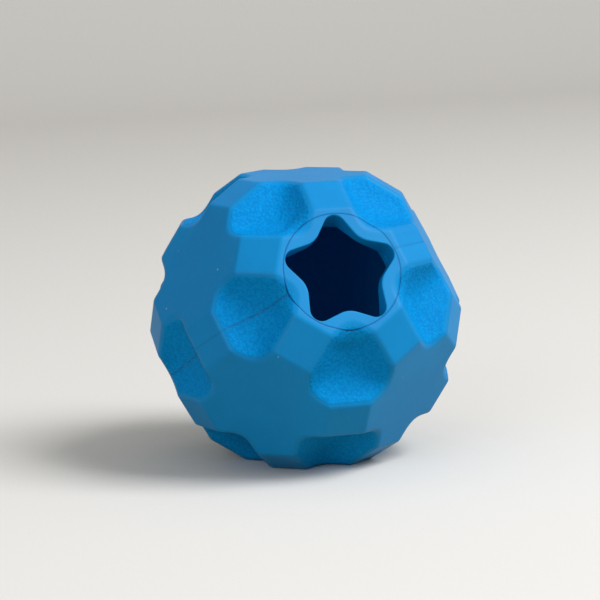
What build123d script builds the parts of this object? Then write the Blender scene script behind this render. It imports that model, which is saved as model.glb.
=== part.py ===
"""Treat dispensing ball: a hollow rubber ball with twelve flat facets and a star-shaped mouth.

The pentagon facets face the corners of an icosahedron. A square land lies between each two neighbouring
facets, and a scooped hollow where three of them would meet. The ball stands on one facet, with the
origin at that facet's middle, and its mouth faces -Y and upwards. Two bonded half shells meet on a seam
plane through the mouth, and a round plug with a star-shaped hole seats in the mouth.
"""

import os
from itertools import combinations
from math import acos, atan, cos, degrees, radians, sin, sqrt, tan

from build123d import *

# Ball
across_flats = 72.0  # from one pentagon facet to the opposite one
land_width = 10.5  # side of the square lands
wall = 4.7  # rubber between a pentagon facet and the chamber
edge_radius = 1.0  # rounding of every outside edge

# Scooped hollows
scoop_depth = 4.0  # floor below the straight edges of the rim
scoop_slope = 41.0  # walls against the floor, in degrees
low_rounding = 0.75  # radius between two walls at the floor, as a share of the inradius there
high_rounding = 0.49  # the same at the height where three land planes meet
floor_rounding = 0.67  # share of the floor's inradius that the rounding at its edge takes up

# Seam between the half shells
tongue_width = 1.4
tongue_height = 1.6
tongue_clearance = 0.1
mouth_land = 2.0  # plain seam between the tongue's ends and the mouth

# Mouth and plug
plug_diameter = 29.3
plug_clearance = 0.05
seat_width = 0.6  # ledge in the mouth that the plug's back rests on
seat_thickness = 2.0  # that ledge at its edge, where the chamber begins
rim_width = 1.3  # back rim of the plug, around its dished back
lip_thickness = 3.0  # the plug's lips at their free ends

# Star
star_points = 5
tip_web = 0.4  # rubber between a star tip and the plug's outside
lip_share = 0.702  # radius of the circle that the lips end on, as a share of the tips' one
tip_rounding = 0.193  # radius of the tips, as a share of the circle that they end on
lip_rounding = 0.56  # radius of the lips, as a share of the circle that they end on

# Ball, worked out
facet_distance = across_flats / 2
centre = Vector(0, 0, facet_distance)
facet_tilt = atan(2)  # between the axes of neighbouring facets
land_tilt = facet_tilt / 2  # between the axes of a facet and a land beside it
land_distance = (facet_distance - land_width / 2 * sin(land_tilt)) / cos(land_tilt)
chamber_radius = facet_distance - wall


def leaning(tilt, turn):
    """Unit vector that leans from +Z by tilt, towards the heading turn, both in radians."""
    return Vector(sin(tilt) * cos(turn), sin(tilt) * sin(turn), cos(tilt))


mouth_heading = radians(-90)
upper_ring = [leaning(facet_tilt, mouth_heading + radians(72 * step)) for step in range(5)]
top_axis = Vector(0, 0, 1)
mouth_axis = upper_ring[0]
upper_axes = [top_axis, *upper_ring]
facet_axes = upper_axes + [axis * -1 for axis in upper_axes]
land_axes = [
    (first + second).normalized() for first, second in combinations(facet_axes, 2) if first.dot(second) > 0
]
corners = [
    trio for trio in combinations(facet_axes, 3)
    if all(first.dot(second) > 0 for first, second in combinations(trio, 2))
]

# Scoop, worked out along its own axis from the ball's centre
first_axis, second_axis, third_axis = corners[0]
between_two = first_axis + second_axis
scoop_tilt = radians(between_two.get_angle(between_two + third_axis))  # from a scoop's axis to a land's
rim_height = land_distance * cos(scoop_tilt) + land_width / 2 * sin(scoop_tilt)
rim_inradius = land_distance * sin(scoop_tilt) - land_width / 2 * cos(scoop_tilt)
floor_height = rim_height - scoop_depth
floor_inradius = rim_inradius - scoop_depth / tan(radians(scoop_slope))
floor_radius = floor_inradius * floor_rounding / tan(radians(scoop_slope) / 2)
peak_height = land_distance / cos(scoop_tilt)  # where three land planes meet
peak_inradius = floor_inradius + (peak_height - floor_height) / tan(radians(scoop_slope))
scoop_planes = [Plane(centre, x_dir=a + b - c * 2, z_dir=a + b + c) for a, b, c in corners]

# Seam and mouth, worked out
seam_plane = Plane(centre, x_dir=mouth_axis, z_dir=top_axis + upper_ring[3])
tongue_middle = (chamber_radius + floor_height) / 2
tongue_gap = plug_diameter + 2 * mouth_land  # left in the tongue's ring for the mouth
plug_radius = plug_diameter / 2
seat_radius = plug_radius - seat_width
seat_distance = sqrt(chamber_radius**2 - seat_radius**2) + seat_thickness
plug_length = facet_distance - seat_distance
seat_plane = Plane(
    centre + mouth_axis * seat_distance, x_dir=top_axis - mouth_axis * cos(facet_tilt), z_dir=mouth_axis
)

# Star, worked out: tips and lips are arcs, joined by straight flanks that touch both
star_tip = plug_radius - tip_web
star_valley = star_tip * lip_share
tip_radius = star_tip * tip_rounding
lip_radius = star_valley * lip_rounding
half_pitch = 180 / star_points


def turned(point, half_pitches):
    """The point, turned about the star's middle."""
    return point.rotate(Axis.Z, half_pitches * half_pitch)


def across(point):
    """The point's mirror image across the line of the star's first tip."""
    return Vector(point.X, -point.Y)


tip_centre = Vector(star_tip - tip_radius, 0)
lip_centre = turned(Vector(star_valley + lip_radius, 0), 1)
tip_to_lip = lip_centre - tip_centre
flank_turn = degrees(acos((tip_radius + lip_radius) / tip_to_lip.length))
flank_normal = tip_to_lip.normalized().rotate(Axis.Z, -flank_turn)
flank_start = tip_centre + flank_normal * tip_radius
flank_end = lip_centre - flank_normal * lip_radius
tip_arc = [across(flank_start), Vector(star_tip, 0), flank_start]
lip_arc = [flank_end, turned(Vector(star_valley, 0), 1), turned(across(flank_end), 2)]

with BuildPart() as scoop:
    # One hollow, as a solid that stands on the hollow's floor
    with BuildSketch(Plane.XY.offset(floor_height)) as low_outline:
        RegularPolygon(floor_inradius, 3, major_radius=False, rotation=180)
        fillet(low_outline.vertices(), radius=floor_inradius * low_rounding)
    with BuildSketch(Plane.XY.offset(peak_height)) as high_outline:
        RegularPolygon(peak_inradius, 3, major_radius=False, rotation=180)
        fillet(high_outline.vertices(), radius=peak_inradius * high_rounding)
    loft(ruled=True)
    fillet(scoop.faces().sort_by(Axis.Z)[0].edges(), radius=floor_radius)

with BuildPart() as ball:
    # The outside of the ball, without its chamber or mouth
    with Locations(centre):
        Sphere(peak_height)
    for axis in facet_axes:
        split(bisect_by=Plane(centre + axis * facet_distance, z_dir=axis), keep=Keep.BOTTOM)
    for axis in land_axes:
        split(bisect_by=Plane(centre + axis * land_distance, z_dir=axis), keep=Keep.BOTTOM)
    with Locations(*scoop_planes):
        add(scoop.part, mode=Mode.SUBTRACT)
    flats = ball.faces().filter_by(GeomType.PLANE).sort_by(SortBy.AREA)[-len(facet_axes + land_axes):]
    fillet(list(dict.fromkeys(flats.edges())), radius=edge_radius)

with BuildPart() as hollow:
    # The chamber and the mouth, as one solid
    with Locations(centre):
        Sphere(chamber_radius)
    with BuildSketch(seat_plane):
        Circle(seat_radius)
    extrude(amount=-chamber_radius)
    with BuildSketch(seat_plane):
        Circle(plug_radius + plug_clearance)
    extrude(amount=facet_distance)

with BuildPart() as upper_shell:
    with Locations(seam_plane):
        Cylinder(peak_height, peak_height, align=(Align.CENTER, Align.CENTER, Align.MIN))
    with BuildSketch(seam_plane):
        Circle(tongue_middle + tongue_width / 2 + tongue_clearance)
        Circle(tongue_middle - tongue_width / 2 - tongue_clearance, mode=Mode.SUBTRACT)
        with Locations((tongue_middle, 0)):
            Rectangle(tongue_middle, tongue_gap - 2 * tongue_clearance, mode=Mode.SUBTRACT)
    extrude(amount=tongue_height + tongue_clearance, mode=Mode.SUBTRACT)
    add(hollow.part, mode=Mode.SUBTRACT)
    add(ball.part, mode=Mode.INTERSECT)
upper_shell.part.label = "upper_shell"

with BuildPart() as lower_shell:
    with Locations(seam_plane):
        Cylinder(peak_height, peak_height, align=(Align.CENTER, Align.CENTER, Align.MAX))
    with BuildSketch(seam_plane):
        Circle(tongue_middle + tongue_width / 2)
        Circle(tongue_middle - tongue_width / 2, mode=Mode.SUBTRACT)
        with Locations((tongue_middle, 0)):
            Rectangle(tongue_middle, tongue_gap, mode=Mode.SUBTRACT)
    extrude(amount=tongue_height)
    add(hollow.part, mode=Mode.SUBTRACT)
    add(ball.part, mode=Mode.INTERSECT)
lower_shell.part.label = "lower_shell"

with BuildPart() as star_plug:
    with BuildSketch(seat_plane):
        Circle(plug_radius)
    extrude(amount=plug_length + facet_distance)
    add(ball.part, mode=Mode.INTERSECT)
    with BuildSketch(seat_plane):
        with BuildLine():
            for point in range(star_points):
                tip = [turned(place, 2 * point) for place in tip_arc]
                lip = [turned(place, 2 * point) for place in lip_arc]
                ThreePointArc(*tip)
                Line(tip[-1], lip[0])
                ThreePointArc(*lip)
                Line(lip[-1], turned(tip[0], 2))
        make_face()
    extrude(amount=plug_length + facet_distance, mode=Mode.SUBTRACT)
    with Locations(seat_plane):
        Cone(
            plug_radius - rim_width, star_valley, plug_length - lip_thickness,
            align=(Align.CENTER, Align.CENTER, Align.MIN), mode=Mode.SUBTRACT,
        )
star_plug.part.label = "star_plug"

os.makedirs("parts", exist_ok=True)
for piece in (upper_shell, lower_shell, star_plug):
    export_step(piece.part, f"parts/{piece.part.label}.step")
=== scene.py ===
"""Looks of a treat dispensing ball: two rubber half shells and a star-mouthed plug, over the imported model.

The outside of the ball repeats 120 times: a wedge between the middle of a facet, the middle of a land and
the middle of a scoop. One wedge is worked out as a distance from the ball's centre over a grid, and is turned
into its 120 places.
"""

import math

import bmesh
import bpy
import numpy as np
from bpy.props import FloatProperty, FloatVectorProperty, IntProperty, PointerProperty
from mathutils import Matrix, Vector


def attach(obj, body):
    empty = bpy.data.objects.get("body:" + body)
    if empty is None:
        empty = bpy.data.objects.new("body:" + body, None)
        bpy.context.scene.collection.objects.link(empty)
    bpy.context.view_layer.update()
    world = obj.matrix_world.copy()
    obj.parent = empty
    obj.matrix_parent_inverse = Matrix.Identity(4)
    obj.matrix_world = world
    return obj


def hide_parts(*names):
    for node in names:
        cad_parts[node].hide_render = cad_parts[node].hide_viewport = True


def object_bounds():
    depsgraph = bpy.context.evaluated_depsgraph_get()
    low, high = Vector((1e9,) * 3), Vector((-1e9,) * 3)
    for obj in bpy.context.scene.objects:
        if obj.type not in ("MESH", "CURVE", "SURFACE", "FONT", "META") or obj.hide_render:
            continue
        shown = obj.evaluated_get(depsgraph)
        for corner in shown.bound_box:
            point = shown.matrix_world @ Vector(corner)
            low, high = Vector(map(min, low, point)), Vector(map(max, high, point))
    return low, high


bl_info = {
    "name": "Treat Dispensing Ball",
    "version": (1, 0, 0),
    "blender": (4, 5, 0),
    "location": "View3D > Sidebar > Treat Ball",
    "description": "Builds the rubber half shells, the star plug and the studio of a treat dispensing ball",
    "category": "Object",
}

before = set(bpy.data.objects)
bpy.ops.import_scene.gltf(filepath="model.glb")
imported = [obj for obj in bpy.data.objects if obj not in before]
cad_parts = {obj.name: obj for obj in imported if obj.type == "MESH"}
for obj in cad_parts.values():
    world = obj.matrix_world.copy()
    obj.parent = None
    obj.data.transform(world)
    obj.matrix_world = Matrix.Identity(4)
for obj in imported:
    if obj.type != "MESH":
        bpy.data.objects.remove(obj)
cad_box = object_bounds()

MILLIMETRE = 0.001

# Form of the ball
FACET_SIDES = 5
FACET_TURN = math.radians(360 / FACET_SIDES)  # between the middles of a facet's neighbouring sides
WEDGE_TURN = FACET_TURN / 2
FACET_TILT = math.atan(2)  # between the axes of neighbouring facets
LAND_TILT = FACET_TILT / 2
LAND_REACH = math.tan(LAND_TILT)  # from a facet's middle to a land's, on a facet at distance 1

# Where the grain sets in
GRAIN_RAMP = 0.9 * MILLIMETRE  # depth of a scoop over which the grain grows
GRAIN_AT_RIM = 0.15  # share of that ramp which is passed at the scoop's rim

# Rows and columns of the grids
LAND_COLUMNS = 8
SCOOP_COLUMNS = 18
FACET_ROWS = 12
SCOOP_ROWS = 22
CHAMBER_ROWS = 28
PLUG_COLUMNS = 480
PLUG_FACE_ROWS = 14
PLUG_SIDE_ROWS = 4
PLUG_BACK_ROWS = 5
STAR_WALL_ROWS = 8
STAR_EDGE_LEANS = (30, 60)  # places on the rounding of the star's edge, in degrees
FAR_GATHER = 1.7  # power that gathers columns at the crease, along a wedge's far side
OUTLINE_GATHER = 1.4  # the same along the facet's outline
ROW_GATHER = 1.5  # power that gathers rows at the facet's outline
LEAST_BAND = 0.01  # least reach between the mouth's rim and the facet's outline
SEAM_SLACK = math.radians(40)  # turn past the mouth over which the seam face's columns even out

# Rounds of the searches, and where they start
NEAR_REACH = 0.2  # a reach that lies on the facet at every turn
HALVINGS = 40
DIVISIONS = 16

# How near counts as the same, in metres and radians
ON_SEAM = 1e-8
SAME_RADIUS = 1e-7
SAME_TURN = 1e-7
LEAST_RADIUS = 1e-9
WELD_GAP = 2e-6
LEAST_EDGE = 1e-6
SHARP_TURN = math.radians(40)  # edges between faces that turn by less are shaded smooth

# Rubber, with texture scales in repeats per metre
NOISE_MEAN = 0.5
MOTTLE_SCALE = 55.0
MOTTLE_RANGE = (0.35, 0.7)  # noise at which the darker tone starts and is full
SATIN_SCALE = 1400.0
SATIN_ROUGHNESS = 0.1
LEATHER_SHARE = 0.8  # leather repeats for each pebble
PEBBLE_WEIGHT = 0.6
LEATHER_WEIGHT = 0.9
HILL_RANGE = (0.6, 0.95)  # height of the grain at the pits' painted shade and at the scoops' colour
DUST_SCALE = 400.0
DUST_RANGE = (0.04, 0.11)  # core and edge of a speck, as shares of a repeat
DUST_LOT = 0.955  # share of the repeats that stay clean
DUST_ROUGHNESS = 0.3
LINE_CORE = 0.3  # full tone of a line, as a share of its width
SEAM_CORE = 0.1  # the same for the seam
SEAM_ON_FLATS = 0.7  # the seam's tone on the flats, as a share of that in the scoops
SKIN_IOR = 1.3  # refraction of the smooth skin on the flats

# Studio, in metres
FLOOR_DROP = 0.02 * MILLIMETRE  # keeps the floor off the facet that stands on it
FLOOR_REACH = 6.0  # to the front and to each side
BEND_START = 0.9
BEND_RADIUS = 0.6
BEND_ROWS = 24
BACKDROP_TOP = 2.4
PAPER_ROUGHNESS = 0.9
PAPER_GLOSS = 0.1
KEY_SIZE = 0.7
KEY_PLACE = (0.75, -0.55, 1.05)
FILL_SIZE = 0.8
FILL_PLACE = (-0.9, -0.9, 0.5)
SENSOR_WIDTH = 36.0  # in millimetres
NEAREST_VIEW = 0.01


def length(name, description, default):
    """A size in metres that a user may change."""
    return FloatProperty(
        name=name, description=description, default=default, min=0.0, precision=5,
        subtype="DISTANCE", unit="LENGTH",
    )


def share(name, description, default):
    """A plain number from 0 to 1 that a user may change."""
    return FloatProperty(
        name=name, description=description, default=default, min=0.0, max=1.0, subtype="FACTOR"
    )


def angle(name, description, degrees):
    """An angle that a user may change, given here in degrees."""
    return FloatProperty(name=name, description=description, default=math.radians(degrees), subtype="ANGLE")


def number(name, description, default, measure="NONE"):
    """A number that a user may change."""
    return FloatProperty(name=name, description=description, default=default, unit=measure)


def colour(name, description, default):
    """A linear colour that a user may change."""
    return FloatVectorProperty(
        name=name, description=description, default=default, size=3, min=0.0, max=1.0, subtype="COLOR"
    )


class BallBodySizes(bpy.types.PropertyGroup):
    """Sizes of the ball's outside, its wall and its seam."""

    across_flats: length("Across flats", "From one facet to the opposite one", cad_box[1].z - cad_box[0].z)
    land_width: length("Land width", "Side of the square lands", 0.0105)
    wall: length("Wall", "Rubber between a facet and the chamber", 0.0047)
    scoop_depth: length("Scoop depth", "Scoop floor below the straight edges of its rim", 0.0039)
    scoop_squareness: number("Scoop squareness", "Power that rounds the valleys between a scoop's walls", 3.0)
    facet_edge_blend: length("Facet edge blend", "Depth of the rounding between facets and lands", 0.00035)
    scoop_edge_blend: length("Scoop edge blend", "Depth of the rounding around the scoops", 0.0017)
    groove_width: length("Groove width", "Each side of the grooves at seam and mouth", 0.00018)
    groove_depth: length("Groove depth", "Bottom of the groove around the mouth", 0.00005)
    seam_depth: length("Seam depth", "Bottom of the groove along the seam", 0.00003)


class BallMouthSizes(bpy.types.PropertyGroup):
    """Sizes of the mouth, the plug and its star."""

    plug_diameter: length("Plug diameter", "Outside of the plug", 0.0293)
    plug_clearance: length("Plug clearance", "Between the plug and the mouth's wall", 0.00005)
    seat_width: length("Seat width", "Ledge that the plug's back rests on", 0.0006)
    seat_thickness: length("Seat thickness", "That ledge at its edge", 0.002)
    rim_width: length("Rim width", "Back rim of the plug, around its dished back", 0.0013)
    lip_thickness: length("Lip thickness", "The plug's lips at their free ends", 0.003)
    tip_web: length("Tip web", "Rubber between a star tip and the plug's outside", 0.0004)
    lip_share: share("Lip share", "Circle that the lips end on, as a share of the tips' one", 0.702)
    tip_rounding: share("Tip rounding", "Radius of the tips, as a share of the tips' circle", 0.193)
    lip_rounding: share("Lip rounding", "Radius of the lips, as a share of the lips' circle", 0.56)
    star_edge: length("Star edge", "Rounding of the star's outer edge", 0.0003)
    scoop_easing: share("Scoop easing", "Share of the scoops' depth that is left out at the mouth", 0.4)
    star_points: IntProperty(name="Star points", description="Number of tips", default=5, min=3, max=5)


class RubberFinish(bpy.types.PropertyGroup):
    """Colours and textures of the moulded rubber, and the tones of its painted shade."""

    flat_colour: colour("Flats", "Rubber on facets and lands", (0.0, 0.232, 0.57))
    deep_colour: colour("Mottle", "Darker tone that drifts through the rubber", (0.0, 0.21, 0.53))
    scoop_colour: colour("Scoops", "Rubber in the grained scoops", (0.0, 0.262, 0.655))
    # Painted shade: this darker tone between the grains stands in for the shade that falls in the pits
    pit_shade_colour: colour("Pit shade", "Rubber between the grains in the scoops", (0.0, 0.212, 0.565))
    # Painted shade: this darker tone stands in for the shade in the seam's groove and in the gap around the
    # plug
    groove_shade_colour: colour("Groove shade", "Rubber along the seam and around the mouth", (0.0, 0.165, 0.46))
    dust_colour: colour("Dust", "Specks of dust that cling to the rubber", (0.42, 0.5, 0.55))
    flat_roughness: share("Flat roughness", "Roughness of facets and lands", 0.5)
    scoop_roughness: share("Scoop roughness", "Roughness of the grained scoops", 0.65)
    sheen: share("Sheen", "Smooth skin that the flats carry and the grained scoops don't", 0.55)
    gloss: share("Gloss", "Strength of the bare rubber's reflections", 0.05)
    grain_size: length("Grain size", "Width of one grain in the scoops", 0.00062)
    grain_height: length("Grain height", "Height of the grain in the scoops", 0.00017)
    satin_height: length("Satin height", "Height of the faint texture on the flats", 0.000006)
    line_width: length("Line width", "Each side of the darker line around the mouth", 0.00035)
    seam_width: length("Seam width", "Each side of the darker line along the seam", 0.0005)
    seam_tone: share("Seam tone", "Strength of the line along the seam", 0.75)


class BallStudio(bpy.types.PropertyGroup):
    """Camera, lamps and floor."""

    azimuth: angle("Azimuth", "Camera's turn about the ball from straight ahead, negative to the left", -16.4)
    elevation: angle("Elevation", "Camera's height above the ball's middle", 9.95)
    roll: angle("Roll", "Camera's clockwise turn about its own view", 1.6)
    distance: length("Distance", "From the ball's middle to the camera", 0.6585)
    lens: number("Lens", "Focal length on a 36 mm sensor", 156.0, "CAMERA")
    shift_right: number("Shift right", "Frame shift, as a share of its width", -0.0098)
    shift_up: number("Shift up", "Frame shift, as a share of its width", 0.0263)
    floor_colour: colour("Floor", "Plain floor and backdrop", (0.72, 0.71, 0.69))
    bounce_colour: colour("Floor bounce", "Floor as it lights the ball from below", (0.42, 0.38, 0.28))
    key_power: number("Key", "Power of the strong soft lamp", 19.0, "POWER")
    fill_power: number("Fill", "Power of the weak soft lamp", 3.6, "POWER")
    sky_strength: number("Sky", "Strength of the even light all round", 0.5)
    far_colour: colour("Far tone", "What the camera sees past the floor's far edge", (0.33, 0.325, 0.31))


def unit(vectors):
    """The vectors, each divided by its own length."""
    return vectors / np.linalg.norm(vectors, axis=-1, keepdims=True)


def dot(one, other):
    """Dot products of vectors, kept as a last axis of one."""
    return np.sum(one * other, axis=-1, keepdims=True)


def steps(count):
    """Shares from 0 to 1 in so many equal steps."""
    return np.linspace(0, 1, count + 1)


def smooth_step(value):
    """3 v squared - 2 v cubed of a value v that is kept between 0 and 1."""
    kept = np.clip(value, 0.0, 1.0)
    return kept**2 * (3 - 2 * kept)


def facet_axes():
    """Axes of the twelve facets: straight up, five that lean from it by atan 2 at fifths of a turn from -Y,
    and the opposites of those six."""
    turn = np.radians(360 / FACET_SIDES * np.arange(FACET_SIDES) - 90)
    aside = np.sin(FACET_TILT)
    upright = np.full_like(turn, np.cos(FACET_TILT))
    ring = np.stack([aside * np.cos(turn), aside * np.sin(turn), upright], axis=1)
    upper = np.vstack([[[0.0, 0.0, 1.0]], ring])
    return np.vstack([upper, -upper])


def mouth_frame():
    """Axes of the mouth: up along its facet, sideways along it, and out of the mouth."""
    out = facet_axes()[1]
    up = unit(np.array([0.0, 0.0, 1.0]) - out * out[2])
    return up, np.cross(out, up), out


def seam_normal():
    """Direction square to the seam plane: the sum of the top facet's axis and the fourth of its ring."""
    axes = facet_axes()
    return unit(axes[0] + axes[4])


def wedge_frame(first, second, third):
    """Frame of the wedge of three neighbouring facets' axes, or of many such trios.

    The rows of a frame are its x, from the first facet's middle to the land shared with the second, its y, on
    from that land to the scoop shared with the third, and its z, the first facet's axis.
    """
    along_x = unit(second - first * dot(first, second))
    scoop = first + second + third
    rest = scoop - first * dot(first, scoop)
    along_y = unit(rest - along_x * dot(along_x, rest))
    return np.stack([along_x, along_y, first], axis=-2)


def wedge_frames():
    """Frames of the 120 wedges, one for each ordered trio of neighbouring facets."""
    axes = facet_axes()
    near = np.isclose(axes @ axes.T, math.cos(FACET_TILT))
    trios = np.argwhere(near[:, :, None] & near[:, None, :] & near[None, :, :])
    return wedge_frame(*axes[trios].swapaxes(0, 1))


def folded(reach, turn):
    """Wedge coordinates at a reach from a facet's middle, with the turn folded into the wedge's own."""
    fold = np.abs((turn + WEDGE_TURN) % FACET_TURN - WEDGE_TURN)
    return reach * np.cos(fold), reach * np.sin(fold)


def smooth_least(one, other, blend):
    """The lesser of two distances. Where their gap is under blend, it is lowered by (blend - gap) squared over
    4 blend."""
    near = np.maximum(blend - np.abs(one - other), 0.0)
    return np.minimum(one, other) - near**2 / (4 * blend)


class BallShape:
    """The ball's outside as distances from its centre, over wedge coordinates on a facet at distance 1."""

    def __init__(self, body, mouth):
        self.facet = body.across_flats / 2
        self.half_land = body.land_width / 2
        self.land = (self.facet - self.half_land * math.sin(LAND_TILT)) / math.cos(LAND_TILT)
        self.chamber = self.facet - body.wall
        self.facet_blend = body.facet_edge_blend
        self.scoop_blend = body.scoop_edge_blend
        self.squareness = body.scoop_squareness
        self.depth = body.scoop_depth
        self.groove_width = body.groove_width
        self.groove_depth = body.groove_depth
        self.seam_depth = body.seam_depth
        self.centre = np.array([0.0, 0.0, self.facet])
        self.set_scoop()
        self.easing = mouth.scoop_easing
        self.plug = mouth.plug_diameter / 2
        self.bore = self.plug + mouth.plug_clearance
        self.ledge = self.plug - mouth.seat_width
        self.ledge_foot = math.sqrt(self.chamber**2 - self.ledge**2)
        self.seat = self.ledge_foot + mouth.seat_thickness

    def set_scoop(self):
        """Axis of a wedge's scoop, directions square to it towards its three lands, its rim and its floor."""
        trio = facet_axes()[:3]
        to_wedge = wedge_frame(*trio).T
        lands = unit(trio + np.roll(trio, -1, axis=0)) @ to_wedge
        self.scoop_axis = unit(trio.sum(axis=0)) @ to_wedge
        leaning = dot(lands, self.scoop_axis)
        self.to_lands = unit(lands - leaning * self.scoop_axis)
        tilt = math.acos(leaning[0, 0])
        self.scoop_reach = self.scoop_axis[1] / self.scoop_axis[2]
        self.rim_radius = self.land * math.sin(tilt) - self.half_land * math.cos(tilt)
        self.rim_height = self.land * math.cos(tilt) + self.half_land * math.sin(tilt)
        self.floor_height = self.rim_height - self.depth

    def flats(self, x, y):
        """Distance to the facet, facet times ray length, or to the land, land over ray's lean, blended."""
        ray = np.sqrt(1 + x**2 + y**2)
        to_land = self.land * ray / (x * math.sin(LAND_TILT) + math.cos(LAND_TILT))
        return smooth_least(self.facet * ray, to_land, self.facet_blend)

    def scoop(self, x, y):
        """Distance to the scoop's bowl, whose height over its floor is depth times (spread over rim) squared.

        The spread is the root of the summed powers of the reaches towards the three lands, so along a ray the
        bowl is a quadratic, and its nearer root is the surface.
        """
        ray = unit(np.stack([x, y, np.ones_like(x)], axis=-1))
        reach = np.maximum(ray @ self.to_lands.T, 0.0)
        spread = np.sum(reach**self.squareness, axis=-1) ** (1 / self.squareness)
        rise = ray @ self.scoop_axis
        bend = self.depth * (spread / self.rim_radius) ** 2
        under_root = np.maximum(rise**2 - 4 * bend * self.floor_height, 0.0)
        return 2 * self.floor_height / (rise + np.sqrt(under_root))

    def kept(self, x, y, at_mouth):
        """Share of the scoops' depth that is kept: all of it, but less towards the plug on the mouth's facet,
        by a smooth step from the reach of the lands."""
        if not at_mouth:
            return 1.0
        inwards = (LAND_REACH - np.hypot(x, y)) / (LAND_REACH - self.plug / self.facet)
        return 1 - self.easing * smooth_step(inwards)

    def outside(self, x, y, at_mouth):
        """Distance to the ball's outside: the lesser of flats and scoop, blended, and eased at the mouth."""
        flats = self.flats(x, y)
        dip = flats - smooth_least(flats, self.scoop(x, y), self.scoop_blend)
        return flats - dip * self.kept(x, y, at_mouth)

    def graininess(self, x, y, at_mouth):
        """0 on the flats, 1 inside the scoops, by a smooth step over the scoop's depth below the flats."""
        dip = (self.flats(x, y) - self.scoop(x, y)) * self.kept(x, y, at_mouth)
        return smooth_step(dip / GRAIN_RAMP + GRAIN_AT_RIM)

    def points(self, x, y, at_mouth):
        """Places on the outside, in a wedge's own frame."""
        ray = unit(np.stack([x, y, np.ones_like(x)], axis=-1))
        return ray * self.outside(x, y, at_mouth)[..., None]

    def reach_at(self, radius, turn):
        """Wedge reach of the outside at a radius from the mouth's axis: the radius over the height there, in
        repeated rounds."""
        reach = radius / self.facet + 0 * turn
        for _ in range(DIVISIONS):
            x, y = folded(reach, turn)
            reach = radius * np.sqrt(1 + reach**2) / self.outside(x, y, at_mouth=True)
        return reach

    def height_at(self, radius, turn):
        """Height of the outside along the mouth's axis, at a radius from that axis."""
        reach = self.reach_at(radius, turn)
        x, y = folded(reach, turn)
        return self.outside(x, y, at_mouth=True) / np.sqrt(1 + reach**2)


def wedge_grid(shape, around_mouth):
    """Wedge coordinates of a grid that follows the edges between facet, land and scoop.

    Columns run from the facet's middle, or from the mouth's rim, through the facet's outline to the wedge's
    far side. Rows gather at the outline, and columns where the land meets the scoop.
    """
    to_crease = 1 - (1 - steps(LAND_COLUMNS)) ** 2
    past_crease = steps(SCOOP_COLUMNS)[1:]
    crease = shape.half_land / shape.land * math.hypot(1, LAND_REACH)
    far_scoop = crease + (shape.scoop_reach - crease) * past_crease**FAR_GATHER
    far_y = np.concatenate([crease * to_crease, far_scoop])
    far_side = np.stack([np.full_like(far_y, LAND_REACH), far_y], axis=-1)
    edge_x = (shape.land / shape.facet - math.cos(LAND_TILT)) / math.sin(LAND_TILT)
    edge_y = shape.half_land / shape.facet * to_crease
    corner_turn = math.atan2(edge_y[-1], edge_x)
    rim_turn = corner_turn + (WEDGE_TURN - corner_turn) * past_crease**OUTLINE_GATHER
    turn = np.concatenate([np.arctan2(edge_y, edge_x), rim_turn])
    outline = np.concatenate([np.hypot(edge_x, edge_y), rim_reach(shape, rim_turn)])
    start = np.zeros_like(turn)
    if around_mouth:
        start = shape.reach_at(np.full_like(turn, shape.bore + shape.groove_width), turn)
        outline = np.maximum(outline, start + LEAST_BAND)
    heading = np.stack([np.cos(turn), np.sin(turn)], axis=-1)
    near, edge = heading * start[:, None], heading * outline[:, None]
    to_edge = (1 - (1 - steps(FACET_ROWS)) ** 2)[:, None, None]
    past_edge = (steps(SCOOP_ROWS)[1:] ** ROW_GATHER)[:, None, None]
    grid = np.concatenate([near + (edge - near) * to_edge, edge + (far_side - edge) * past_edge])
    return grid[..., 0], grid[..., 1]


def rim_reach(shape, turn):
    """Reach from a facet's middle to the scoop's rim, by halving the stretch where facet and scoop cross."""
    low = np.full_like(turn, NEAR_REACH)
    high = LAND_REACH / np.cos(turn)
    for _ in range(HALVINGS):
        middle = (low + high) / 2
        x, y = middle * np.cos(turn), middle * np.sin(turn)
        past = shape.scoop(x, y) < shape.facet * np.sqrt(1 + middle**2)
        low, high = np.where(past, low, middle), np.where(past, middle, high)
    return (low + high) / 2


def grid_quads(rows, columns, wrap_rows=False, wrap_columns=False):
    """Corner numbers of a grid's quads, counted row by row, each going down a row, along, and back up."""
    points = np.arange(rows * columns).reshape(rows, columns)
    if wrap_rows:
        points = np.vstack([points, points[:1]])
    if wrap_columns:
        points = np.hstack([points, points[:, :1]])
    corners = [points[:-1, :-1], points[1:, :-1], points[1:, 1:], points[:-1, 1:]]
    return np.stack(corners, axis=-1).reshape(-1, 4)


def make_piece(name, places, quads, grain):
    """A closed mesh from welded quads, with its grain kept on each point, as an object at the origin."""
    mesh = bpy.data.meshes.new(name)
    mesh.vertices.add(len(places))
    mesh.vertices.foreach_set("co", places.astype(np.float32).ravel())
    mesh.loops.add(quads.size)
    mesh.loops.foreach_set("vertex_index", quads.astype(np.int32).ravel())
    mesh.polygons.add(len(quads))
    mesh.polygons.foreach_set("loop_start", np.arange(0, quads.size, 4, dtype=np.int32))
    mesh.update(calc_edges=True)
    mesh.attributes.new("grain", "FLOAT", "POINT").data.foreach_set("value", grain.astype(np.float32))
    welded = bmesh.new()
    welded.from_mesh(mesh)
    bmesh.ops.remove_doubles(welded, verts=welded.verts, dist=WELD_GAP)
    bmesh.ops.dissolve_degenerate(welded, edges=welded.edges, dist=LEAST_EDGE)
    welded.to_mesh(mesh)
    welded.free()
    mesh.shade_smooth()
    mesh.set_sharp_from_angle(angle=SHARP_TURN)
    mesh.validate()
    piece = bpy.data.objects.new(name, mesh)
    bpy.context.collection.objects.link(piece)
    return piece


def even_shading(piece):
    """Lets large faces lead the shading, so that flats stay flat up to their rounded edges."""
    weighted = piece.modifiers.new("Even shading", "WEIGHTED_NORMAL")
    weighted.keep_sharp = True


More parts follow.
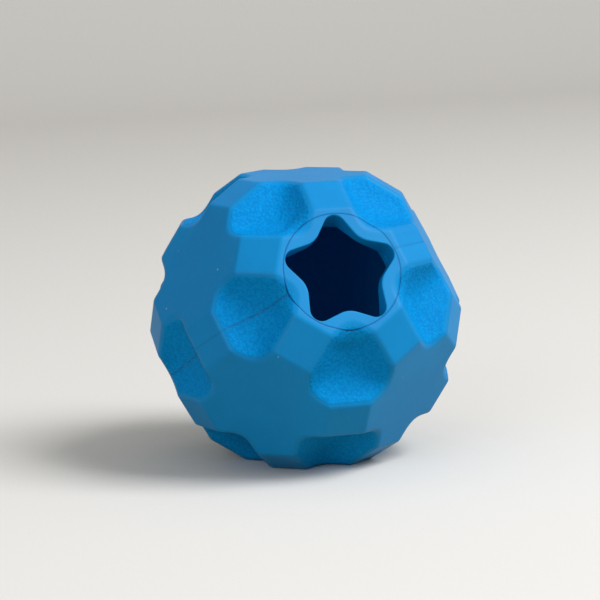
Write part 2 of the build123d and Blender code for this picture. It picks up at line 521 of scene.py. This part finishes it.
def pressed_off(shape, places, side):
    """The places, with those near the seam plane pressed away from it, the nearest by a groove's width."""
    normal = seam_normal()
    off_seam = np.abs(places @ normal)
    press = shape.groove_width * np.clip(1 - off_seam / (2 * shape.groove_width), 0, 1)
    return places + press[:, None] * normal * side


def half_outside(shape, side):
    """Outside of one half: its sixty wedges as places, quads and grain, with the loose border's places."""
    frames = wedge_frames()
    normal = seam_normal()
    mouth = facet_axes()[1]
    wedge_middle = np.array([2 * LAND_REACH, shape.scoop_reach, 3.0]) / 3
    aside = (wedge_middle @ frames) @ normal * side > 0
    at_mouth = np.isclose(frames[:, 2] @ mouth, 1.0)
    places, quads, grain, border, count = [], [], [], [], 0
    for around_mouth in (False, True):
        x, y = wedge_grid(shape, around_mouth)
        chosen = frames[aside & (at_mouth == around_mouth)]
        wedge = np.einsum("rck,wkj->wrcj", shape.points(x, y, around_mouth), chosen)
        one = grid_quads(*x.shape)
        turned = np.where(np.linalg.det(chosen)[:, None, None] > 0, one, one[:, ::-1])
        first = count + x.size * np.arange(len(chosen))
        quads.append((turned + first[:, None, None]).reshape(-1, 4))
        places.append(wedge.reshape(-1, 3))
        grain.append(np.tile(shape.graininess(x, y, around_mouth).ravel(), len(chosen)))
        count += x.size * len(chosen)
        if around_mouth:
            border.append(wedge[:, 0].reshape(-1, 3))
    places = np.vstack(places)
    border.append(places[np.abs(places @ normal) < ON_SEAM])
    return pressed_off(shape, places, side), np.vstack(quads), np.concatenate(grain), np.vstack(border)


def half_inside(shape, side, border):
    """Inside of one half: a sheet from its border over the seam face, the mouth's seat and the chamber.

    Columns go round the seam's normal. On the seam they run straight in to the chamber. Around the mouth they
    go down the bore, in along the seat's ledge and down to the chamber. Chamber rows follow great circles
    from there to the pole.
    """
    normal = seam_normal()
    mouth = facet_axes()[1]
    across = np.cross(normal, mouth)
    turn = np.arctan2(border @ across, border @ mouth)
    order = np.argsort(turn)
    kept = np.concatenate([[True], np.diff(turn[order]) > SAME_TURN])
    border, turn = border[order][kept], turn[order][kept]
    height = border @ mouth
    outward = border - height[:, None] * mouth
    radius = np.linalg.norm(outward, axis=1, keepdims=True)
    outward = outward / np.maximum(radius, LEAST_RADIUS)
    on_mouth = (np.abs(radius[:, 0] - shape.bore - shape.groove_width) < SAME_RADIUS) & (height > 0)
    bore_path = [
        (shape.bore, height - shape.groove_depth), (shape.bore, shape.seat), (shape.ledge, shape.seat),
        (shape.ledge, shape.ledge_foot),
    ]
    first_turn = np.min(np.abs(turn[~on_mouth]))
    slack = np.clip(1 - (np.abs(turn) - first_turn) / SEAM_SLACK, 0, 1) * np.sign(turn)
    rows = [pressed_off(shape, border, side)]
    for step, (bore_radius, bore_height) in enumerate(bore_path):
        around = outward * bore_radius + mouth * np.broadcast_to(bore_height, turn.shape)[:, None]
        if step == 0:
            lean, reach = turn, np.linalg.norm(border, axis=1) - shape.seam_depth
        else:
            lean = turn + (math.atan2(bore_radius, bore_height) - first_turn) * slack
            reach = math.hypot(bore_radius, bore_height)
        heading = np.cos(lean)[:, None] * mouth + np.sin(lean)[:, None] * across
        rows.append(np.where(on_mouth[:, None], around, heading * np.reshape(reach, (-1, 1))))
    edge = unit(rows[-1])
    pole = normal * side
    span = np.arccos(np.clip(edge @ pole, -1, 1))[:, None]
    for part in steps(CHAMBER_ROWS)[1:]:
        swung = (np.sin((1 - part) * span) * edge + np.sin(part * span) * pole) / np.sin(span)
        rows.append(swung * shape.chamber)
    quads = grid_quads(len(rows), len(turn), wrap_columns=True)
    return np.vstack(rows), quads if side > 0 else quads[:, ::-1]


def half_shell(name, shape, side):
    """One closed half shell: its outside, its seam face, the mouth's seat and its half of the chamber."""
    places, quads, grain, border = half_outside(shape, side)
    inner_places, inner_quads = half_inside(shape, side, border)
    quads = np.vstack([quads, inner_quads + len(places)])
    grain = np.concatenate([grain, np.zeros(len(inner_places))])
    return make_piece(name, np.vstack([places, inner_places]) + shape.centre, quads, grain)


def star_radius(mouth, tip, turn):
    """Radius of the star's outline at a turn: tip arcs and lip arcs, joined by the flanks that touch both."""
    half = math.pi / mouth.star_points
    fold = np.abs((turn + half) % (2 * half) - half)
    valley = tip * mouth.lip_share
    tip_radius = tip * mouth.tip_rounding
    lip_radius = valley * mouth.lip_rounding
    tip_middle = np.array([tip - tip_radius, 0.0])
    lip_middle = (valley + lip_radius) * np.array([math.cos(half), math.sin(half)])
    gap = lip_middle - tip_middle
    flank = math.atan2(gap[1], gap[0]) - math.acos((tip_radius + lip_radius) / math.hypot(*gap))
    flank_normal = np.array([math.cos(flank), math.sin(flank)])
    start, end = tip_middle + tip_radius * flank_normal, lip_middle - lip_radius * flank_normal
    along_tip = tip_middle[0] * np.cos(fold)
    tip_arc = along_tip + np.sqrt(np.maximum(tip_radius**2 - tip_middle[0] ** 2 + along_tip**2, 0))
    straight = start @ flank_normal / np.cos(fold - flank)
    far = math.hypot(*lip_middle)
    along_lip = far * np.cos(half - fold)
    lip_arc = along_lip - np.sqrt(np.maximum(lip_radius**2 - far**2 + along_lip**2, 0))
    parts = [fold < math.atan2(start[1], start[0]), fold < math.atan2(end[1], end[0])]
    return np.select(parts, [tip_arc, straight], lip_arc)


def plug_piece(name, shape, mouth):
    """The plug: a closed profile carried round the mouth's axis, whose inner side follows the star.

    The profile goes out along the ball's outside, over a chamfer, down the plug's side, in along the back
    rim, up the dished back to the star, up the star's wall and over its rounded edge.
    """
    turn = np.linspace(0, 2 * math.pi, PLUG_COLUMNS, endpoint=False)
    tip = shape.plug - mouth.tip_web
    star = star_radius(mouth, tip, turn)
    dish_rim = shape.plug - mouth.rim_width
    dish_end = tip * mouth.lip_share
    dish_rise = (shape.facet - shape.seat - mouth.lip_thickness) / (dish_rim - dish_end)
    edge = mouth.star_edge
    chamfer = shape.plug - shape.groove_width
    face = [star + edge + (chamfer - star - edge) * part for part in steps(PLUG_FACE_ROWS)]
    profile = [(radius, shape.height_at(radius, turn)) for radius in face]
    rim_height = profile[-1][1] - shape.groove_depth
    for part in steps(PLUG_SIDE_ROWS):
        profile.append((np.full_like(turn, shape.plug), rim_height + (shape.seat - rim_height) * part))
    back = np.maximum(dish_rim, star)
    for part in steps(PLUG_BACK_ROWS):
        radius = back + (star - back) * part
        profile.append((radius, shape.seat + np.maximum(dish_rim - radius, 0) * dish_rise))
    foot = profile[-1][1]
    top = profile[0][1]
    profile += [(star, foot + (top - edge - foot) * part) for part in steps(STAR_WALL_ROWS)[1:]]
    for lean in np.radians(STAR_EDGE_LEANS):
        profile.append((star + edge * (1 - np.cos(lean)), top - edge * (1 - np.sin(lean))))
    radius, height = (np.stack(rows) for rows in zip(*profile))
    up, sideways, out = mouth_frame()
    along = np.stack([radius * np.cos(turn), radius * np.sin(turn), height], axis=-1)
    places = along[..., :1] * up + along[..., 1:2] * sideways + along[..., 2:] * out
    x, y = folded(shape.reach_at(radius, turn), turn)
    grain = np.zeros_like(radius)
    grain[:len(face)] = shape.graininess(x, y, at_mouth=True)[:len(face)]
    quads = grid_quads(len(profile), PLUG_COLUMNS, wrap_rows=True, wrap_columns=True)
    return make_piece(name, places.reshape(-1, 3) + shape.centre, quads, grain.ravel())


class Wire:
    """A shader socket: operators on wires add Math nodes, and node adds any other node to the same tree."""

    def __init__(self, tree, socket=None):
        self.tree = tree
        self.socket = socket

    def node(self, kind, settings, sockets, output=0):
        """A new node's output: the node's settings are made first, then its sockets are set or linked."""
        made = self.tree.nodes.new(kind)
        for key, value in settings.items():
            setattr(made, key, value)
        for key, value in sockets.items():
            if isinstance(value, Wire):
                self.tree.links.new(value.socket, made.inputs[key])
            else:
                made.inputs[key].default_value = value
        return Wire(self.tree, made.outputs[output])

    def show(self, kind):
        """Links this wire to the surface of a new output node."""
        output = self.tree.nodes.new(kind)
        self.tree.links.new(self.socket, output.inputs["Surface"])

    def maths(self, operation, one, other=0.0):
        """A Math node on two wires or numbers."""
        return self.node("ShaderNodeMath", {"operation": operation}, {0: one, 1: other})

    def __add__(self, other):
        return self.maths("ADD", self, other)

    def __radd__(self, other):
        return self.maths("ADD", other, self)

    def __sub__(self, other):
        return self.maths("SUBTRACT", self, other)

    def __rsub__(self, other):
        return self.maths("SUBTRACT", other, self)

    def __mul__(self, other):
        return self.maths("MULTIPLY", self, other)

    def __rmul__(self, other):
        return self.maths("MULTIPLY", other, self)

    def __abs__(self):
        return self.maths("ABSOLUTE", self)

    def above(self, limit):
        return self.maths("GREATER_THAN", self, limit)

    def power(self, exponent):
        return self.maths("POWER", self, exponent)

    def least(self, other):
        return self.maths("MINIMUM", self, other)

    def most(self, other):
        return self.maths("MAXIMUM", self, other)

    def length(self):
        """Length of this vector."""
        return self.node("ShaderNodeVectorMath", {"operation": "LENGTH"}, {0: self}, "Value")

    def along(self, direction):
        """How far this vector goes in a direction."""
        sockets = {0: self, 1: tuple(direction)}
        return self.node("ShaderNodeVectorMath", {"operation": "DOT_PRODUCT"}, sockets, "Value")

    def step(self, low, high):
        """Smooth step from 0 at low to 1 at high."""
        settings = {"interpolation_type": "SMOOTHSTEP"}
        return self.node("ShaderNodeMapRange", settings, {"Value": self, "From Min": low, "From Max": high})

    def mix(self, one, other):
        """Colour from one to other, with this wire as the share of other."""
        settings = {"data_type": "RGBA"}
        return self.node("ShaderNodeMix", settings, {0: self, 6: one, 7: other}, output=2)


def bench_for(owner):
    """The emptied shader tree of a material or world, as a wire to build on."""
    owner.use_nodes = True
    owner.node_tree.nodes.clear()
    return Wire(owner.node_tree)


def opaque(values):
    """A colour property with full alpha."""
    return (*values, 1.0)


def rubber(name, finish, shape, has_seam):
    """Moulded rubber: satin on the flats, grained where the grain attribute is 1, with painted shade in the
    grain's pits and on its lines along the seam and around the plug.
    """
    material = bpy.data.materials.new(name)
    bench = bench_for(material)
    place = bench.node("ShaderNodeTexCoord", {}, {}, "Object")
    grain = bench.node("ShaderNodeAttribute", {"attribute_name": "grain"}, {}, "Fac")

    def noise(scale, detail, roughness):
        sockets = {"Vector": place, "Scale": scale, "Detail": detail, "Roughness": roughness}
        return bench.node("ShaderNodeTexNoise", {}, sockets)

    def cells(feature, output, **sockets):
        sockets = {"Vector": place, "Randomness": 1.0, **sockets}
        return bench.node("ShaderNodeTexVoronoi", {"feature": feature}, sockets, output)

    # Colour of the flats and of the grained scoops, with painted shade in the grain's pits
    drift = noise(MOTTLE_SCALE, detail=3.0, roughness=0.55).step(*MOTTLE_RANGE)
    flats = drift.mix(opaque(finish.flat_colour), opaque(finish.deep_colour))
    pebble = cells("SMOOTH_F1", "Distance", Scale=1 / finish.grain_size, Smoothness=0.5)
    leather = noise(LEATHER_SHARE / finish.grain_size, detail=3.0, roughness=0.6)
    hills = (1 - pebble) * PEBBLE_WEIGHT + leather * LEATHER_WEIGHT
    # Painted shade in the pits: low grain takes the darker pit tone, high grain the scoops' colour
    scoops = hills.step(*HILL_RANGE).mix(opaque(finish.pit_shade_colour), opaque(finish.scoop_colour))
    body = grain.mix(flats, scoops)

    # Painted shade: darker lines in the gap around the plug and along the seam's groove, left out in the
    # chamber
    up, sideways, out = mouth_frame()
    middle = bench.node("ShaderNodeVectorMath", {"operation": "SUBTRACT"}, {0: place, 1: tuple(shape.centre)})
    outdoors = middle.length().above(shape.floor_height - MILLIMETRE)
    off_axis = (middle.along(up).power(2) + middle.along(sideways).power(2)).power(0.5)
    off_circle = abs(off_axis - shape.plug) + (1 - middle.along(out).above(shape.seat))
    line = 1 - off_circle.step(LINE_CORE * finish.line_width, finish.line_width)
    if has_seam:
        off_seam = abs(middle.along(seam_normal())) + (1 - outdoors)
        seam = (1 - off_seam.step(SEAM_CORE * finish.seam_width, finish.seam_width)) * finish.seam_tone
        line = line.most(seam * (SEAM_ON_FLATS + (1 - SEAM_ON_FLATS) * grain))
    lined = line.mix(body, opaque(finish.groove_shade_colour))

    # Dust on the outside of the flats
    speck = cells("F1", "Distance", Scale=DUST_SCALE)
    lot = bench.node("ShaderNodeSeparateColor", {}, {0: cells("F1", "Color", Scale=DUST_SCALE)})
    dust = (1 - speck.step(*DUST_RANGE)) * lot.above(DUST_LOT) * (1 - grain) * outdoors
    coloured = dust.mix(lined, opaque(finish.dust_colour))

    # Roughness and relief
    satin = noise(SATIN_SCALE, detail=2.0, roughness=0.5)
    roughness = finish.flat_roughness + grain * (finish.scoop_roughness - finish.flat_roughness)
    roughness = roughness + (satin - NOISE_MEAN) * SATIN_ROUGHNESS + dust * DUST_ROUGHNESS
    height = hills * grain * finish.grain_height + satin * (1 - grain) * finish.satin_height
    bump = bench.node("ShaderNodeBump", {}, {"Strength": 1.0, "Distance": 1.0, "Height": height})
    sockets = {
        "Base Color": coloured, "Roughness": roughness, "Normal": bump, "Specular IOR Level": finish.gloss,
        "Coat Weight": (1 - grain) * finish.sheen, "Coat Roughness": finish.flat_roughness,
        "Coat IOR": SKIN_IOR,
    }
    bench.node("ShaderNodeBsdfPrincipled", {}, sockets).show("ShaderNodeOutputMaterial")
    return material


class BALL_OT_half_shells(bpy.types.Operator):
    """Builds the upper and lower half shells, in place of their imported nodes"""

    bl_idname = "treat_ball.half_shells"
    bl_label = "Half shells"

    def execute(self, context):
        scene = context.scene
        shape = BallShape(scene.treat_ball_body, scene.treat_ball_mouth)
        skin = rubber("shell_rubber_satin", scene.treat_ball_finish, shape, has_seam=True)
        for node, side in (("upper_shell", 1), ("lower_shell", -1)):
            piece = half_shell(node + "_rubber", shape, side)
            piece.data.materials.append(skin)
            even_shading(piece)
            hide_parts(node)
            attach(piece, "shell")
        return {"FINISHED"}


class BALL_OT_star_plug(bpy.types.Operator):
    """Builds the plug with the star mouth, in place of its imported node"""

    bl_idname = "treat_ball.star_plug"
    bl_label = "Star plug"

    def execute(self, context):
        scene = context.scene
        shape = BallShape(scene.treat_ball_body, scene.treat_ball_mouth)
        skin = rubber("plug_rubber_satin", scene.treat_ball_finish, shape, has_seam=False)
        piece = plug_piece("star_plug_rubber", shape, scene.treat_ball_mouth)
        piece.data.materials.append(skin)
        even_shading(piece)
        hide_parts("star_plug")
        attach(piece, "plug")
        return {"FINISHED"}


def backdrop_piece(name):
    """Floor that bends up into a backdrop: a flat run, a quarter circle and an upright run, along X."""
    bend = math.pi / 2 * steps(BEND_ROWS)[1:]
    bend_depth = BEND_START + BEND_RADIUS * np.sin(bend)
    bend_rise = BEND_RADIUS * (1 - np.cos(bend))
    depth = np.concatenate([[-FLOOR_REACH, BEND_START], bend_depth, bend_depth[-1:]])
    rise = np.concatenate([[0.0, 0.0], bend_rise, [BACKDROP_TOP]]) - FLOOR_DROP
    across = np.array([-FLOOR_REACH, FLOOR_REACH])
    places = np.stack(np.broadcast_arrays(across[None, :], depth[:, None], rise[:, None]), axis=-1)
    mesh = bpy.data.meshes.new(name)
    quads = grid_quads(len(depth), len(across))[:, ::-1]
    mesh.from_pydata(places.reshape(-1, 3).tolist(), [], quads.tolist())
    mesh.shade_smooth()
    piece = bpy.data.objects.new(name, mesh)
    bpy.context.collection.objects.link(piece)
    return piece


def paper(name, studio):
    """Plain paper: pale where the camera or a reflection sees it, darker where it lights the ball."""
    material = bpy.data.materials.new(name)
    bench = bench_for(material)
    by_camera = bench.node("ShaderNodeLightPath", {}, {}, "Is Camera Ray")
    by_reflection = bench.node("ShaderNodeLightPath", {}, {}, "Is Glossy Ray")
    seen = (by_camera + by_reflection).least(1.0)
    tone = seen.mix(opaque(studio.bounce_colour), opaque(studio.floor_colour))
    sockets = {"Base Color": tone, "Roughness": PAPER_ROUGHNESS, "Specular IOR Level": PAPER_GLOSS}
    bench.node("ShaderNodeBsdfPrincipled", {}, sockets).show("ShaderNodeOutputMaterial")
    return material


def sky(name, studio):
    """Even white light all round, which the camera sees as dim as the far floor, so that no edge shows."""
    world = bpy.data.worlds.new(name)
    bench = bench_for(world)
    seen = bench.node("ShaderNodeLightPath", {}, {}, "Is Camera Ray")
    tone = seen.mix(opaque((studio.sky_strength,) * 3), opaque(studio.far_colour))
    bench.node("ShaderNodeBackground", {}, {"Color": tone, "Strength": 1.0}).show("ShaderNodeOutputWorld")
    return world


def facing(direction):
    """Turn of a camera or lamp that looks in a direction, with its top up."""
    return direction.to_track_quat("-Z", "Y").to_matrix()


def soft_lamp(name, power, size, place, target):
    """A square area lamp that looks at a target."""
    light = bpy.data.lights.new(name, "AREA")
    light.energy = power
    light.size = size
    lamp = bpy.data.objects.new(name, light)
    lamp.location = place
    lamp.rotation_euler = facing(target - Vector(place)).to_euler()
    bpy.context.collection.objects.link(lamp)


def viewing_camera(name, studio, target):
    """A camera at the studio's azimuth, elevation and distance from its target, rolled about its view."""
    camera = bpy.data.cameras.new(name)
    camera.sensor_width = SENSOR_WIDTH
    camera.lens = studio.lens
    camera.shift_x = studio.shift_right
    camera.shift_y = studio.shift_up
    camera.clip_start = NEAREST_VIEW
    viewer = bpy.data.objects.new(name, camera)
    back = Vector((
        math.sin(studio.azimuth) * math.cos(studio.elevation),
        -math.cos(studio.azimuth) * math.cos(studio.elevation),
        math.sin(studio.elevation),
    ))
    viewer.location = target + back * studio.distance
    viewer.rotation_euler = (facing(-back) @ Matrix.Rotation(-studio.roll, 3, "Z")).to_euler()
    bpy.context.collection.objects.link(viewer)
    return viewer


class BALL_OT_studio(bpy.types.Operator):
    """Builds the floor, the lamps and the camera"""

    bl_idname = "treat_ball.studio"
    bl_label = "Studio"

    def execute(self, context):
        scene = context.scene
        studio = scene.treat_ball_studio
        middle = Vector((0, 0, scene.treat_ball_body.across_flats / 2))
        floor = backdrop_piece("studio_floor")
        floor.data.materials.append(paper("studio_paper", studio))
        soft_lamp("key_lamp", studio.key_power, KEY_SIZE, KEY_PLACE, middle)
        soft_lamp("fill_lamp", studio.fill_power, FILL_SIZE, FILL_PLACE, middle)
        scene.world = sky("studio_sky", studio)
        scene.camera = viewing_camera("studio_camera", studio, middle)
        scene.view_settings.view_transform = "Standard"
        return {"FINISHED"}


class BALL_PT_treat_ball(bpy.types.Panel):
    """Sizes, finish and studio of the treat ball"""

    bl_idname = "BALL_PT_treat_ball"
    bl_label = "Treat Ball"
    bl_space_type = "VIEW_3D"
    bl_region_type = "UI"
    bl_category = "Treat Ball"

    def draw(self, context):
        for group_name in GROUPS:
            group = getattr(context.scene, group_name)
            box = self.layout.box()
            for name in group.__annotations__:
                box.prop(group, name)
        for operator in OPERATORS:
            self.layout.operator(operator.bl_idname)


GROUPS = {
    "treat_ball_body": BallBodySizes,
    "treat_ball_mouth": BallMouthSizes,
    "treat_ball_finish": RubberFinish,
    "treat_ball_studio": BallStudio,
}
OPERATORS = (BALL_OT_half_shells, BALL_OT_star_plug, BALL_OT_studio)


def register():
    """Registers the property groups, the operators and the panel."""
    for name, group in GROUPS.items():
        bpy.utils.register_class(group)
        setattr(bpy.types.Scene, name, PointerProperty(type=group))
    for kind in (*OPERATORS, BALL_PT_treat_ball):
        bpy.utils.register_class(kind)


def unregister():
    """Removes what register added."""
    for kind in (BALL_PT_treat_ball, *reversed(OPERATORS)):
        bpy.utils.unregister_class(kind)
    for name, group in GROUPS.items():
        delattr(bpy.types.Scene, name)
        bpy.utils.unregister_class(group)


def main():
    """Registers the classes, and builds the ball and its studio."""
    register()
    bpy.ops.treat_ball.half_shells()
    bpy.ops.treat_ball.star_plug()
    bpy.ops.treat_ball.studio()


if __name__ == "__main__":
    main()
